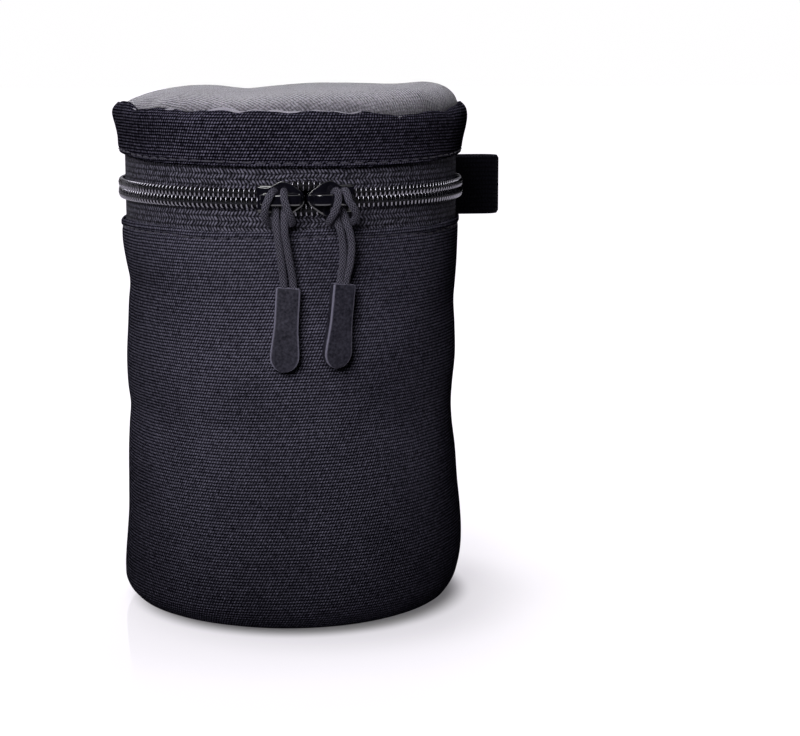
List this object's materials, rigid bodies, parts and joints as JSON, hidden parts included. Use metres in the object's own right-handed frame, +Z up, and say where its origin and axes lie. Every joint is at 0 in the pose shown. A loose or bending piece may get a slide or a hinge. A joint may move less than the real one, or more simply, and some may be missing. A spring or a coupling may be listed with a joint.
{
  "type": "lens pouch",
  "caption": "Padded soft cylinder for a camera lens, with a zipped lid hinged at the back, zip sliders with cord pulls and a webbing carry loop.",
  "frame": {"origin": "centre of the base, on the surface that the pouch stands on", "axes": "+Z up along the pouch's axis, -Y towards the front where the two zip sliders meet, +Y towards the hinge, +X towards the side where the carry loop sticks out"},
  "size_m": [0.1314, 0.1264, 0.161],
  "materials": {
    "outer_fabric": "ribbed near-black nylon with a slight violet tint",
    "top_fabric": "fine twill nylon, a little greyer",
    "lining": "brushed soft dark grey",
    "binding": "woven edge binding",
    "foam": "closed-cell padding",
    "zip_tape": "herringbone woven",
    "zip_coil": "semi-gloss nylon",
    "slider_metal": "gloss black",
    "cord": "braided",
    "tab_rubber": "moulded, matt",
    "webbing": "flat woven"
  },
  "bodies": {
    "body": {"body_shell": "outer_fabric", "body_foam": "foam", "body_lining": "lining", "base_panel": "outer_fabric", "base_foam": "foam", "base_lining": "lining", "base_binding": "binding", "lower_tape": "zip_tape", "lower_coil": "zip_coil", "hinge_panel": "outer_fabric", "carry_strap": "webbing"},
    "lid": {"lid_band": "outer_fabric", "lid_top": "top_fabric", "lid_band_foam": "foam", "lid_top_foam": "foam", "lid_band_lining": "lining", "lid_top_lining": "lining", "lid_binding": "binding", "upper_tape": "zip_tape", "upper_coil": "zip_coil", "lid_hinge_panel": "outer_fabric"},
    "left_slider": {"left_slider_body": "slider_metal", "left_slider_bridge": "slider_metal"},
    "left_pull": {"left_pull_cord": "cord", "left_pull_tab": "tab_rubber"},
    "right_slider": {"right_slider_body": "slider_metal", "right_slider_bridge": "slider_metal"},
    "right_pull": {"right_pull_cord": "cord", "right_pull_tab": "tab_rubber"}
  },
  "joints": [
    {"name": "lid_hinge", "type": "hinge", "parent": "body", "child": "lid", "pos_m": [0, 0.0549, 0.1383], "axis": [-1, 0, 0], "range_deg": [0, 170]},
    {"name": "left_zip", "type": "hinge", "parent": "body", "child": "left_slider", "pos_m": [0, 0, 0.1303], "axis": [0, 0, -1], "range_deg": [0, 128.5]},
    {"name": "right_zip", "type": "hinge", "parent": "body", "child": "right_slider", "pos_m": [0, 0, 0.1303], "axis": [0, 0, 1], "range_deg": [0, 128.5]},
    {"name": "left_pull_lift", "type": "hinge", "parent": "left_slider", "child": "left_pull", "pos_m": [-0.00778, -0.05869, 0.1303], "axis": [-0.9913, 0.1314, 0], "range_deg": [0, 150]},
    {"name": "right_pull_lift", "type": "hinge", "parent": "right_slider", "child": "right_pull", "pos_m": [0.00778, -0.05869, 0.1303], "axis": [-0.9913, -0.1314, 0], "range_deg": [0, 150]}
  ]
}
